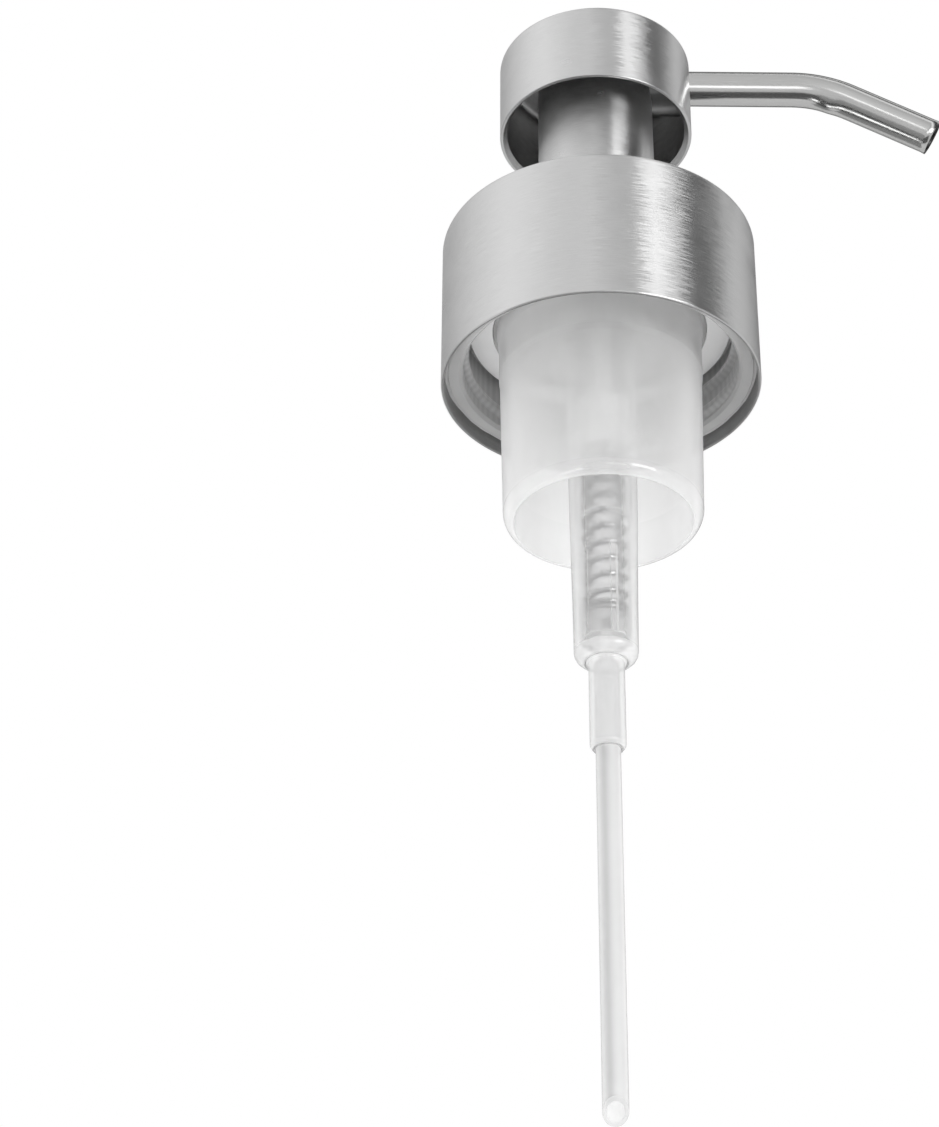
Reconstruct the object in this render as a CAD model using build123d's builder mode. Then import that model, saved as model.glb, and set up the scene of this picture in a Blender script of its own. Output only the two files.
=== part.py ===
"""Screw-on dispenser pump for a wide-neck bottle. All sizes are in millimetres.

The origin is the centre of the sealing face, where the gasket lies on the bottle's rim.
+Z points up to the pump's head and +X along the spout. The head is shown released.
"""
import os
from math import cos, radians, sin, tan

from build123d import *

os.makedirs("parts", exist_ok=True)

# --- Fits -----------------------------------------------------------------------------
running_gap = 0.06  # radial, between pieces that turn or slide on each other
press_gap = 0.02  # radial, between pieces pushed together for good
stroke = 12.0  # travel of the head when it is pressed

# --- Collar and screw closure ---------------------------------------------------------
collar_radius = 26.0
collar_wall = 0.55
collar_bottom = -10.8
collar_top = 16.8
collar_edge_round = 0.9
collar_inside = collar_radius - collar_wall
collar_roof = collar_top - collar_wall

insert_bottom = -8.5
insert_bore_radius = 22.5
insert_radius = 24.9
insert_lip = 0.6  # chamfer at the mouth of the screw closure
insert_rim_radius = 23.9  # inside of the wall that rises from the deck to the roof
grip_rib_count = 90
grip_rib_reach = 0.4
grip_rib_width = 0.85
grip_rib_bottom = -6.4
deck_bottom = 2.05
deck_top = 3.25

thread_pitch = 4.23  # six turns an inch
thread_turns = 1.15
thread_start = -6.9
thread_depth = 1.0
thread_foot = 0.4  # how far the thread's root is sunk in the wall
thread_root_width = 2.1
thread_crest_width = 0.9

# --- Head, shroud and spout -----------------------------------------------------------
head_radius = 16.45
head_wall = 1.25
head_bottom = 41.2
head_top = 56.6
head_edge_round = 0.9
head_roof_thickness = 0.8
head_ceiling = head_top - head_roof_thickness
head_inside = head_radius - head_wall

shroud_radius = 9.85
shroud_wall = 0.7
shroud_bottom = deck_top + stroke + 0.35  # still clear of the deck when pressed
core_plate_thickness = 1.4
core_bottom = 24.0
core_recess_top = 38.0
core_recess_radius = 6.5
core_plate_bottom = head_ceiling - core_plate_thickness

spout_radius = 3.0
spout_wall = 0.5
spout_height = 52.5
spout_inner_end = 4.5
spout_knee = 39.4  # where the tube's two straight runs would meet
spout_droop = 29.4  # degrees
spout_run = 21.4  # from the knee to the outlet, along the tube
spout_bend_radius = 20.0
spout_bush_radius = 4.75

# --- Rod, piston and locking cap ------------------------------------------------------
rod_radius = 2.5
rod_bore_radius = 1.5
rod_bottom = -20.8
rod_top = 47.0
rod_shoulder_radius = 3.3
rod_shoulder_bottom = -13.2
rod_shoulder_top = -11.7
rod_port_radius = 0.8
rod_port_height = -18.6

tip_flange_radius = 3.3
tip_flange_bottom = -22.8
tip_flange_top = -21.4
tip_nose_radius = 2.2
tip_nose_bottom = -26.0
tip_plug_top = -19.8

seal_shift = 1.2  # free play of the seal on the rod
seal_bottom = tip_flange_top + press_gap
seal_top = rod_shoulder_bottom - seal_shift - press_gap
seal_lip_height = 1.5
seal_waist_radius = 3.8

cap_neck_radius = 8.0
cap_flange_radius = 8.9
cap_flange_bottom = 3.3
cap_flange_top = 4.4
cap_body_radius = 7.8
cap_top = 7.8
wiper_radius = 4.3
wiper_bottom = 5.6
wiper_height = 1.2

bush_radius = 12.4
bush_neck_radius = 10.95
bush_guide_bottom = 11.8
bush_skirt_bore = 10.7
bush_proud = 0.15  # how far the bush's neck stands out of the collar's roof

# --- Neck sleeve, gasket and chamber --------------------------------------------------
gasket_thickness = 0.8
gasket_bore_radius = 17.6
gasket_radius = 21.4  # goes in past the thread's crest
flange_radius = 22.1
flange_top = 2.0
plug_radius = 17.2
plug_root_radius = 17.5
sleeve_wall = 1.2
shoulder_top = -9.6
shoulder_bottom = -10.8
skirt_top_radius = 16.4
skirt_bottom_radius = 15.9
skirt_bottom = -36.8
skirt_edge_round = 1.3
skirt_end_wall = 1.7  # thicker at its lower end
hub_radius = 10.5
hub_bottom = -1.4
hub_bore_radius = 5.95
hub_recess_radius = 8.7

chamber_flange_radius = 8.6
chamber_flange_bottom = 1.1
chamber_neck_radius = 6.6
chamber_top = 5.5
chamber_top_radius = 5.8
chamber_mid_radius = 5.4
chamber_low_radius = 5.1
chamber_end_radius = 5.0
chamber_mid_height = -35.8
chamber_low_height = -50.8
chamber_bottom = -61.9
chamber_corner = 1.9
piston_bore_radius = 4.5
spring_bore_radius = 4.05
bore_step = tip_flange_bottom - stroke - 2.2  # where the bore narrows for the spring
floor_height = -58.4
seat_radius = 2.6
inlet_radius = 1.1
seat_bottom = floor_height - (seat_radius - inlet_radius)
guide_rib_count = 5
guide_rib_radius = 3.72
guide_rib_width = 1.0
guide_rib_top = -42.3
socket_radius = 2.78
socket_bottom = -76.8

dip_radius = 1.9
dip_bore_radius = 1.3
dip_top = -62.2
dip_bottom = -135.2
dip_cut = 40.0  # degrees, slant of the tube's end

ball_radius = 1.8
ball_lift = 1.2
ball_height = seat_bottom - inlet_radius + ball_radius / sin(radians(45)) + 0.02
cage_radius = 3.68
cage_bore_radius = 2.7
cage_top = -54.2
cage_cover_bottom = ball_height + ball_radius + ball_lift + 0.1
cage_slot_width = 1.6
cage_slot_height = 2.8
cage_hole_radius = 0.75
cage_hole_circle = 1.9

spring_wire_radius = 0.42
spring_radius = 3.18
spring_turns = 10


def turn(*outline, mode=Mode.ADD):
    """Adds or cuts a body of revolution about Z, from (radius, height) corners."""
    with BuildSketch(Plane.XZ) as profile:
        with BuildLine():
            Polyline(*outline, close=True)
        make_face()
    revolve(profile.sketch, axis=Axis.Z, mode=mode)


def ring(inner, outer, low, high, mode=Mode.ADD):
    """Adds or cuts a plain ring, or a disc where inner is 0."""
    turn((inner, low), (outer, low), (outer, high), (inner, high), mode=mode)


def save(builder, name):
    """Labels a finished piece and writes its file."""
    builder.part.label = name
    export_step(builder.part, f"parts/{name}.step")


# --- Screw closure, with its steel cover ----------------------------------------------

# A drawn steel cup, open below, with a hole in its roof for the guide bush.
with BuildPart() as collar_shell:
    ring(0, collar_radius, collar_bottom, collar_top)
    fillet(collar_shell.edges().group_by(Axis.Z)[-1], collar_edge_round)
    ring(0, collar_inside, collar_bottom, collar_roof, mode=Mode.SUBTRACT)
    ring(0, bush_neck_radius + press_gap, collar_roof, collar_top, mode=Mode.SUBTRACT)
save(collar_shell, "collar_shell")

# The moulded screw cap inside it: a deck, a threaded skirt below and a wall above.
with BuildPart() as closure_insert:
    turn(
        (insert_bore_radius + insert_lip, insert_bottom),
        (insert_radius, insert_bottom),
        (insert_radius, collar_roof),
        (insert_rim_radius, collar_roof),
        (insert_rim_radius, deck_top),
        (cap_neck_radius + running_gap, deck_top),
        (cap_neck_radius + running_gap, deck_bottom),
        (insert_bore_radius, deck_bottom),
        (insert_bore_radius, insert_bottom + insert_lip),
    )
    with BuildLine() as thread_path:
        Helix(
            pitch=thread_pitch,
            height=thread_pitch * thread_turns,
            radius=insert_bore_radius,
            center=(0, 0, thread_start),
        )
    thread_plane = Plane(
        origin=thread_path.line @ 0, x_dir=(-1, 0, 0), z_dir=thread_path.line % 0
    )
    with BuildSketch(thread_plane) as thread_profile:
        with BuildLine():
            Polyline(
                (-thread_foot, thread_root_width / 2),
                (0, thread_root_width / 2),
                (thread_depth, thread_crest_width / 2),
                (thread_depth, -thread_crest_width / 2),
                (0, -thread_root_width / 2),
                (-thread_foot, -thread_root_width / 2),
                close=True,
            )
        make_face()
    sweep(thread_profile.sketch, path=thread_path.line, is_frenet=True)
    with BuildSketch(Plane.XY.offset(grip_rib_bottom)) as grip_ribs:
        with PolarLocations(insert_radius, grip_rib_count):
            Rectangle(2 * grip_rib_reach, grip_rib_width)
    extrude(grip_ribs.sketch, amount=collar_roof - grip_rib_bottom)
save(closure_insert, "closure_insert")

# The bead of glue that closes the gap between the cap's foot and the steel.
with BuildPart() as collar_adhesive:
    ring(insert_radius, collar_inside, insert_bottom + 0.1, insert_bottom + 1.7)
save(collar_adhesive, "collar_adhesive")

# Stands on the deck and guides the shroud through the collar's roof.
with BuildPart() as guide_bush:
    turn(
        (bush_skirt_bore, deck_top),
        (bush_radius, deck_top),
        (bush_radius, collar_roof),
        (bush_neck_radius, collar_roof),
        (bush_neck_radius, collar_top + bush_proud),
        (shroud_radius + running_gap, collar_top + bush_proud),
        (shroud_radius + running_gap, bush_guide_bottom),
        (bush_skirt_bore, bush_guide_bottom - 0.8),
    )
save(guide_bush, "guide_bush")

# --- Pump body, which stands still on the bottle --------------------------------------

with BuildPart() as neck_gasket:
    ring(gasket_bore_radius, gasket_radius, 0, gasket_thickness)
save(neck_gasket, "neck_gasket")

# A flange with a bell below it: the upper step plugs the bottle's neck.
with BuildPart() as neck_sleeve:
    turn(
        (hub_bore_radius, hub_bottom),
        (hub_radius, hub_bottom),
        (hub_radius, gasket_thickness - sleeve_wall),
        (plug_radius - sleeve_wall, gasket_thickness - sleeve_wall),
        (plug_radius - sleeve_wall, shoulder_top - sleeve_wall / 2),
        (skirt_top_radius - sleeve_wall, shoulder_bottom - sleeve_wall / 2),
        (skirt_bottom_radius - skirt_end_wall, skirt_bottom),
        (skirt_bottom_radius, skirt_bottom),
        (skirt_top_radius, shoulder_bottom),
        (plug_radius, shoulder_top),
        (plug_radius, -0.3),
        (plug_root_radius, 0),
        (plug_root_radius, gasket_thickness),
        (flange_radius, gasket_thickness),
        (flange_radius, flange_top),
        (hub_recess_radius, flange_top),
        (hub_recess_radius, gasket_thickness),
        (hub_bore_radius, gasket_thickness),
    )
    skirt_edge = neck_sleeve.edges().filter_by(GeomType.CIRCLE).filter_by(
        lambda e: abs(e.center().Z - skirt_bottom) < 0.01
        and abs(e.radius - skirt_bottom_radius) < 0.01
    )
    fillet(skirt_edge, skirt_edge_round)
save(neck_sleeve, "neck_sleeve")

with BuildPart() as chamber_washer:
    ring(
        chamber_top_radius + press_gap,
        chamber_flange_radius,
        gasket_thickness,
        chamber_flange_bottom,
    )
save(chamber_washer, "chamber_washer")

# The cylinder: piston bore above, narrower spring bore with guide ribs, the ball's seat,
# and the socket for the dip tube.
with BuildPart() as pump_chamber:
    turn(
        (0, socket_bottom),
        (socket_radius, socket_bottom),
        (socket_radius, chamber_bottom),
        (chamber_end_radius, chamber_bottom),
        (chamber_end_radius, floor_height),
        (chamber_low_radius, chamber_low_height),
        (chamber_mid_radius, chamber_mid_height),
        (chamber_top_radius, chamber_flange_bottom),
        (chamber_flange_radius, chamber_flange_bottom),
        (chamber_flange_radius, flange_top),
        (chamber_neck_radius, flange_top),
        (chamber_neck_radius, chamber_top),
        (0, chamber_top),
    )
    outer_corner = pump_chamber.edges().filter_by(GeomType.CIRCLE).filter_by(
        lambda e: abs(e.center().Z - chamber_bottom) < 0.01
        and abs(e.radius - chamber_end_radius) < 0.01
    )
    fillet(outer_corner, chamber_corner)
    turn(
        (0, dip_top),
        (inlet_radius, dip_top),
        (inlet_radius, seat_bottom),
        (seat_radius, floor_height),
        (spring_bore_radius, floor_height),
        (spring_bore_radius, bore_step),
        (piston_bore_radius, bore_step + 0.6),
        (piston_bore_radius, chamber_top),
        (0, chamber_top),
        mode=Mode.SUBTRACT,
    )
    ring(0, dip_radius + press_gap, socket_bottom, dip_top, mode=Mode.SUBTRACT)
    with BuildSketch(Plane.XY.offset(floor_height)) as guide_ribs:
        with PolarLocations(spring_bore_radius, guide_rib_count):
            Rectangle(2 * (spring_bore_radius - guide_rib_radius), guide_rib_width)
    extrude(guide_ribs.sketch, amount=guide_rib_top - floor_height)
save(pump_chamber, "pump_chamber")

# Snaps over the chamber's neck; its flange keeps the screw closure on the pump.
with BuildPart() as locking_cap:
    turn(
        (chamber_neck_radius + press_gap, flange_top),
        (cap_neck_radius, flange_top),
        (cap_neck_radius, cap_flange_bottom),
        (cap_flange_radius, cap_flange_bottom),
        (cap_flange_radius, cap_flange_top),
        (cap_body_radius, cap_flange_top),
        (cap_body_radius, cap_top),
        (rod_radius + running_gap, cap_top),
        (rod_radius + running_gap, wiper_bottom + wiper_height),
        (wiper_radius, wiper_bottom + wiper_height),
        (wiper_radius, wiper_bottom),
        (chamber_neck_radius + press_gap, wiper_bottom),
    )
save(locking_cap, "locking_cap")

with BuildPart() as rod_wiper:
    ring(rod_radius + running_gap / 2, wiper_radius, wiper_bottom, wiper_bottom + wiper_height)
save(rod_wiper, "rod_wiper")

# Holds the ball near its seat and carries the spring's lower end.
with BuildPart() as ball_cage:
    ring(0, cage_radius, floor_height, cage_top)
    ring(0, cage_bore_radius, floor_height, cage_cover_bottom, mode=Mode.SUBTRACT)
    with BuildSketch(Plane.XY.offset(floor_height)) as cage_slots:
        Rectangle(3 * cage_radius, cage_slot_width)
        Rectangle(cage_slot_width, 3 * cage_radius)
    extrude(cage_slots.sketch, amount=cage_slot_height, mode=Mode.SUBTRACT)
    with BuildSketch(Plane.XY.offset(cage_top)) as cage_holes:
        with PolarLocations(cage_hole_circle, 4):
            Circle(cage_hole_radius)
    extrude(cage_holes.sketch, amount=cage_cover_bottom - cage_top, mode=Mode.SUBTRACT)
save(ball_cage, "ball_cage")

# Rests in the seat's 45 degree cone.
with BuildPart() as inlet_ball:
    with Locations((0, 0, ball_height)):
        Sphere(ball_radius)
save(inlet_ball, "inlet_ball")

# The tube that reaches to the bottle's floor, cut on a slant.
with BuildPart() as dip_tube:
    ring(dip_bore_radius, dip_radius, dip_bottom, dip_top)
    slant_rise = 2 * dip_radius * tan(radians(dip_cut))
    with BuildSketch(Plane.YZ.offset(-2 * dip_radius)) as slant:
        with BuildLine():
            Polyline(
                (dip_radius, dip_bottom),
                (-dip_radius, dip_bottom + slant_rise),
                (-2 * dip_radius, dip_bottom + slant_rise),
                (-2 * dip_radius, dip_bottom - dip_radius),
                (dip_radius, dip_bottom - dip_radius),
                close=True,
            )
        make_face()
    extrude(slant.sketch, amount=4 * dip_radius, mode=Mode.SUBTRACT)
save(dip_tube, "dip_tube")

# Compression spring between the cage and the rod's tip.
spring_low = cage_top + spring_wire_radius + 0.02
spring_height = tip_flange_bottom - cage_top - 2 * spring_wire_radius - 0.04
with BuildPart() as return_spring:
    with BuildLine() as spring_path:
        Helix(
            pitch=spring_height / spring_turns,
            height=spring_height,
            radius=spring_radius,
            center=(0, 0, spring_low),
        )
    with BuildSketch(Plane(spring_path.line @ 0, z_dir=spring_path.line % 0)) as wire:
        Circle(spring_wire_radius)
    sweep(wire.sketch, path=spring_path.line, is_frenet=True)
save(return_spring, "return_spring")

# --- Plunger: rod and tip, with the piston that slides on them ------------------------

with BuildPart() as piston_rod:
    turn(
        (rod_bore_radius, rod_bottom),
        (rod_radius, rod_bottom),
        (rod_radius, rod_shoulder_bottom),
        (rod_shoulder_radius, rod_shoulder_bottom),
        (rod_shoulder_radius, rod_shoulder_top),
        (rod_radius, rod_shoulder_top + 0.8),
        (rod_radius, rod_top),
        (rod_bore_radius, rod_top),
    )
    for side in (Plane.XZ, Plane.YZ):
        with BuildSketch(side) as port:
            with Locations((0, rod_port_height)):
                Circle(rod_port_radius)
        extrude(port.sketch, amount=2 * rod_radius, both=True, mode=Mode.SUBTRACT)
save(piston_rod, "piston_rod")

with BuildPart() as piston_tip:
    turn(
        (0, tip_nose_bottom),
        (tip_nose_radius - 0.7, tip_nose_bottom),
        (tip_nose_radius, tip_nose_bottom + 0.9),
        (tip_nose_radius, tip_flange_bottom),
        (tip_flange_radius, tip_flange_bottom),
        (tip_flange_radius, tip_flange_top),
        (rod_radius, tip_flange_top),
        (rod_radius, rod_bottom),
        (rod_bore_radius, rod_bottom),
        (rod_bore_radius, tip_plug_top),
        (0, tip_plug_top),
    )
save(piston_tip, "piston_tip")

# Wiping lips above and below a narrower waist.
lip_radius = piston_bore_radius - running_gap / 2
with BuildPart() as piston_seal:
    turn(
        (rod_radius + running_gap / 2, seal_bottom),
        (tip_flange_radius, seal_bottom),
        (lip_radius, seal_bottom + 0.5),
        (lip_radius, seal_bottom + seal_lip_height),
        (seal_waist_radius, seal_bottom + seal_lip_height + 0.6),
        (seal_waist_radius, seal_top - seal_lip_height - 0.6),
        (lip_radius, seal_top - seal_lip_height),
        (lip_radius, seal_top),
        (rod_radius + running_gap / 2, seal_top),
    )
save(piston_seal, "piston_seal")

# --- Head -----------------------------------------------------------------------------

# A drawn steel button, open below, with a side hole for the spout.
with BuildPart() as head_shell:
    ring(0, head_radius, head_bottom, head_top)
    fillet(head_shell.edges().group_by(Axis.Z)[-1], head_edge_round)
    ring(0, head_inside, head_bottom, head_ceiling, mode=Mode.SUBTRACT)
    with BuildSketch(Plane.YZ.offset(shroud_radius)) as spout_hole:
        with Locations((0, spout_height)):
            Circle(spout_radius + press_gap)
    extrude(spout_hole.sketch, amount=head_radius, mode=Mode.SUBTRACT)
save(head_shell, "head_shell")

with BuildPart() as stem_shroud:
    ring(shroud_radius - shroud_wall, shroud_radius, shroud_bottom, core_plate_bottom)
    with BuildSketch(Plane.YZ) as shroud_hole:
        with Locations((0, spout_height)):
            Circle(spout_radius + press_gap)
    extrude(shroud_hole.sketch, amount=2 * shroud_radius, mode=Mode.SUBTRACT)
save(stem_shroud, "stem_shroud")

# Moulded plug in the shroud that takes the liquid from the rod to the spout.
core_radius = shroud_radius - shroud_wall - press_gap
channel_radius = spout_radius - spout_wall - 0.1
with BuildPart() as actuator_core:
    turn(
        (0, core_recess_top),
        (core_recess_radius, core_recess_top),
        (core_recess_radius, core_bottom),
        (core_radius, core_bottom),
        (core_radius, core_plate_bottom),
        (shroud_radius, core_plate_bottom),
        (shroud_radius, head_ceiling),
        (0, head_ceiling),
    )
    ring(0, rod_radius + running_gap / 2, core_recess_top, rod_top + 0.1, mode=Mode.SUBTRACT)
    ring(0, rod_bore_radius, rod_top, spout_height, mode=Mode.SUBTRACT)
    with BuildSketch(Plane.YZ.offset(spout_inner_end)) as spout_socket:
        with Locations((0, spout_height)):
            Circle(spout_radius + press_gap)
    extrude(spout_socket.sketch, amount=2 * core_radius, mode=Mode.SUBTRACT)
    with BuildSketch(Plane.YZ) as channel:
        with Locations((0, spout_height)):
            Circle(channel_radius)
    extrude(channel.sketch, amount=spout_inner_end, mode=Mode.SUBTRACT)
save(actuator_core, "actuator_core")

# Boss around the spout between the shroud and the head's wall.
with BuildPart() as spout_bush:
    with BuildSketch(Plane.YZ) as boss:
        with Locations((0, spout_height)):
            Circle(spout_bush_radius)
            Circle(spout_radius + press_gap, mode=Mode.SUBTRACT)
    extrude(boss.sketch, amount=head_radius)
    ring(0, shroud_radius + press_gap, head_bottom, head_top, mode=Mode.SUBTRACT)
    ring(0, head_inside - press_gap, head_bottom, head_ceiling, mode=Mode.INTERSECT)
save(spout_bush, "spout_bush")

# Steel tube with one bend, cut square at both ends.
outlet = (
    spout_knee + spout_run * cos(radians(spout_droop)),
    0,
    spout_height - spout_run * sin(radians(spout_droop)),
)
with BuildPart() as spout_tube:
    with BuildLine() as spout_path:
        FilletPolyline(
            (spout_inner_end, 0, spout_height),
            (spout_knee, 0, spout_height),
            outlet,
            radius=spout_bend_radius,
        )
    with BuildSketch(Plane.YZ.offset(spout_inner_end)) as spout_section:
        with Locations((0, spout_height)):
            Circle(spout_radius)
            Circle(spout_radius - spout_wall, mode=Mode.SUBTRACT)
    sweep(spout_section.sketch, path=spout_path.line)
save(spout_tube, "spout_tube")
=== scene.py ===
"""Screw-on dispenser pump, seen from below in a white studio.

Sizes of pieces are in millimetres until a mesh is made, and heights are above the sealing
face. The studio is in metres.
"""
import math

import bmesh
import bpy
import numpy as np
from mathutils import Matrix, Vector


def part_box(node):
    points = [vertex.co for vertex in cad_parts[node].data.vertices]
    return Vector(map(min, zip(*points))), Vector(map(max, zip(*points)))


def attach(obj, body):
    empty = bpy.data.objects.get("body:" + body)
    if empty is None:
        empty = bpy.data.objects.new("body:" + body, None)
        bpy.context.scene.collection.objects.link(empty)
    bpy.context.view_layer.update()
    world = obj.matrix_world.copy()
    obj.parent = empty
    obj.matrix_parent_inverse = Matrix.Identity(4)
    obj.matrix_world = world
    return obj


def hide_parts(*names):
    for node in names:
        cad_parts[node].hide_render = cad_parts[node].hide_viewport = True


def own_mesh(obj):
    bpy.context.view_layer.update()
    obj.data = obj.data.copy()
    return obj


MM = 0.001
TAU = 2 * math.pi

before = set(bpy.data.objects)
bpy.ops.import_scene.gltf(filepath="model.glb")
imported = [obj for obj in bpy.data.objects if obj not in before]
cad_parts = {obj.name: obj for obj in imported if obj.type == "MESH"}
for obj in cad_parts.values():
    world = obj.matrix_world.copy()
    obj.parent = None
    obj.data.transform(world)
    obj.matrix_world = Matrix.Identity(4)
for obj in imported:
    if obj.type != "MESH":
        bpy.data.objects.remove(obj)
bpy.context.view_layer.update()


# --- Sizes, taken from the frame ------------------------------------------------------


def span(node):
    """(outer radius, lowest height, highest height) of a CAD node, in millimetres."""
    low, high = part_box(node)
    return high.y / MM, low.z / MM, high.z / MM


collar_r, collar_low, collar_high = span("collar_shell")
head_r, head_low, head_high = span("head_shell")
shroud_r, shroud_low, shroud_high = span("stem_shroud")
insert_r, insert_low, insert_high = span("closure_insert")
bush_r, bush_low, bush_high = span("guide_bush")
glue_r, glue_low, glue_high = span("collar_adhesive")
gasket_r, gasket_low, gasket_high = span("neck_gasket")
flange_r, skirt_low, flange_high = span("neck_sleeve")
chamber_flange_r, socket_low, chamber_high = span("pump_chamber")
washer_high = span("chamber_washer")[2]
cage_low = span("ball_cage")[1]
dip_r, dip_low, dip_high = span("dip_tube")
spring_low, spring_high = span("return_spring")[1:]
spout_r = span("spout_tube")[0]
spout_near, outlet_far = (corner.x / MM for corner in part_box("spout_tube"))
cover_wall = 0.55


# --- Mesh tools -----------------------------------------------------------------------


def rounded(corners, steps=5, guard=0.12):
    """A closed outline of (radius, height) points from corners (radius, height, round).

    Each rounded corner becomes an arc, and each run gets a point close to either end, so
    that smooth shading stays flat along it.
    """
    outline = []
    count = len(corners)
    for i, (x, y, size) in enumerate(corners):
        here = Vector((x, y))
        back = Vector(corners[i - 1][:2]) - here
        on = Vector(corners[(i + 1) % count][:2]) - here
        turn = math.pi - back.angle(on)
        cut = size * math.tan(turn / 2)
        reach = cut + guard
        if back.length > 2 * reach:
            outline.append(tuple(here + back.normalized() * reach))
        if size > 0:
            start = here + back.normalized() * cut
            end = here + on.normalized() * cut
            middle = (back.normalized() + on.normalized()).normalized()
            centre = here + middle * size / math.cos(turn / 2)
            a, b = start - centre, end - centre
            for k in range(steps + 1):
                outline.append(tuple(centre + a.slerp(b, k / steps) * size))
        else:
            outline.append((x, y))
        if on.length > 2 * reach:
            outline.append(tuple(here + on.normalized() * reach))
    return outline


def subdivided(outline, low, high, step):
    """The outline with extra points, step apart, on upright runs between two heights."""
    made = []
    for i, here in enumerate(outline):
        there = outline[(i + 1) % len(outline)]
        made.append(here)
        inside = min(here[1], there[1]) >= low and max(here[1], there[1]) <= high
        pieces = int(abs(there[1] - here[1]) / step)
        if inside:
            for k in range(1, pieces):
                made.append(tuple(a + (b - a) * (k / pieces) for a, b in zip(here, there)))
    return made


def grid_mesh(name, points, closed_v, slot, material, body, *nodes, parts=()):
    """A piece from a grid of points: rows go round it, and columns go along its outline.

    parts holds (material, mask) pairs: the faces where a mask is true get its material.
    The UV map runs in centimetres: U round the piece at its mean radius, V along it.
    """
    rows, columns = points.shape[:2]
    mesh = bpy.data.meshes.new(name)
    faces, spans = [], range(columns if closed_v else columns - 1)
    for i in range(rows):
        for j in spans:
            k = (j + 1) % columns
            n = (i + 1) % rows
            faces.append((i * columns + j, n * columns + j, n * columns + k, i * columns + k))
    mesh.from_pydata((points.reshape(-1, 3) * MM).tolist(), [], faces)
    mesh.materials.append(material)
    index = np.zeros((rows, len(spans)), dtype=np.int32)
    for number, (other, mask) in enumerate(parts, 1):
        mesh.materials.append(other)
        index[np.broadcast_to(mask, (rows, columns))[:, : len(spans)]] = number
    mesh.polygons.foreach_set("material_index", index.ravel())
    step = np.linalg.norm(np.diff(points, axis=1, append=points[:, :1]), axis=2).mean(0)
    along = np.concatenate([[0], np.cumsum(step)]) / 10
    around = np.linalg.norm(np.diff(points, axis=0, append=points[:1]), axis=2).sum(0).mean() / 10
    uv = mesh.uv_layers.new(name="grain")
    coords = []
    for i in range(rows):
        for j in spans:
            u, v = i / rows * around, (i + 1) / rows * around
            coords += [u, along[j], v, along[j], v, along[j + 1], u, along[j + 1]]
    uv.data.foreach_set("uv", coords)
    bm = bmesh.new()
    bm.from_mesh(mesh)
    bmesh.ops.remove_doubles(bm, verts=bm.verts, dist=1e-7)
    bmesh.ops.recalc_face_normals(bm, faces=bm.faces)
    bm.to_mesh(mesh)
    bm.free()
    mesh.shade_smooth()
    piece = bpy.data.objects.new(name, mesh)
    bpy.context.scene.collection.objects.link(piece)
    weighted = piece.modifiers.new("weighted_normals", "WEIGHTED_NORMAL")
    weighted.weight = 80
    weighted.keep_sharp = True
    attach(piece, body)
    if nodes:
        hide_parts(*nodes)
    return piece


def turned(name, outline, slot, material, body, *nodes, segments=192, shape=None, parts=()):
    """A piece of revolution from a closed outline; shape(r, z, angle) may move its points."""
    radius, height = np.array(outline).T
    angle = np.arange(segments)[:, None] * TAU / segments
    r, z = (np.broadcast_to(v, (segments, len(v))) for v in (radius, height))
    if shape:
        r, z = shape(r, z, angle)
    points = np.stack([r * np.cos(angle), r * np.sin(angle), z + 0 * angle], axis=2)
    return grid_mesh(name, points, True, slot, material, body, *nodes, parts=parts)


def lined(outline, radius, height, material):
    """(material, mask) for the faces nearer the axis than the radius and below the height."""
    here = np.array(outline)
    middle = (here + np.roll(here, -1, axis=0)) / 2
    return material, (middle[:, 0] < radius) & (middle[:, 1] < height)


def arc(centre, radius, start, end, steps=8):
    """Corners along an arc between two angles in degrees, from the radius direction upwards."""
    angles = np.radians(np.linspace(start, end, steps + 1))
    return [
        (centre[0] + radius * math.cos(a), centre[1] + radius * math.sin(a), 0) for a in angles
    ]


# --- Materials ------------------------------------------------------------------------


class Nodes:
    """Short calls for building a node tree."""

    def __init__(self, tree):
        self.tree = tree

    def add(self, kind, inputs=(), **settings):
        node = self.tree.nodes.new("ShaderNode" + kind)
        for key, value in settings.items():
            setattr(node, key, value)
        for key, value in dict(inputs).items():
            self.put(node.inputs[key], value)
        return node

    def put(self, socket, value):
        if isinstance(value, bpy.types.NodeSocket):
            self.tree.links.new(value, socket)
        else:
            socket.default_value = value

    def math(self, operation, a, b=0.0):
        return self.add("Math", {0: a, 1: b}, operation=operation).outputs[0]

    def scaled(self, vector, x, y, z):
        return self.add("Mapping", {"Vector": vector, "Scale": (x, y, z)}).outputs[0]

    def noise(self, vector, scale, detail=3.0, roughness=0.55):
        inputs = {"Vector": vector, "Scale": scale, "Detail": detail, "Roughness": roughness}
        return self.add("TexNoise", inputs).outputs["Fac"]

    def mixed(self, share, first, second):
        return self.add("MixShader", {0: share, 1: first, 2: second}).outputs[0]

    def ramp(self, value, *stops):
        node = self.add("ValToRGB", {"Fac": value})
        elements = node.color_ramp.elements
        while len(elements) < len(stops):
            elements.new(0.5)
        for element, (place, shade) in zip(elements, stops):
            element.position = place
            tone = shade if isinstance(shade, tuple) else (shade,) * 3
            element.color = (*tone, 1)
        return node.outputs["Color"]

    def bump(self, height, strength, distance, normal=None):
        inputs = {"Height": height, "Strength": strength, "Distance": distance}
        if normal is not None:
            inputs["Normal"] = normal
        return self.add("Bump", inputs).outputs["Normal"]


class Surface(Nodes):
    """The node tree of a new material."""

    def __init__(self, name):
        self.material = bpy.data.materials.new(name)
        self.material.use_nodes = True
        super().__init__(self.material.node_tree)
        self.shader = self.tree.nodes["Principled BSDF"]

    def set(self, **values):
        for key, value in values.items():
            self.put(self.shader.inputs[key.replace("_", " ")], value)


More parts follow.
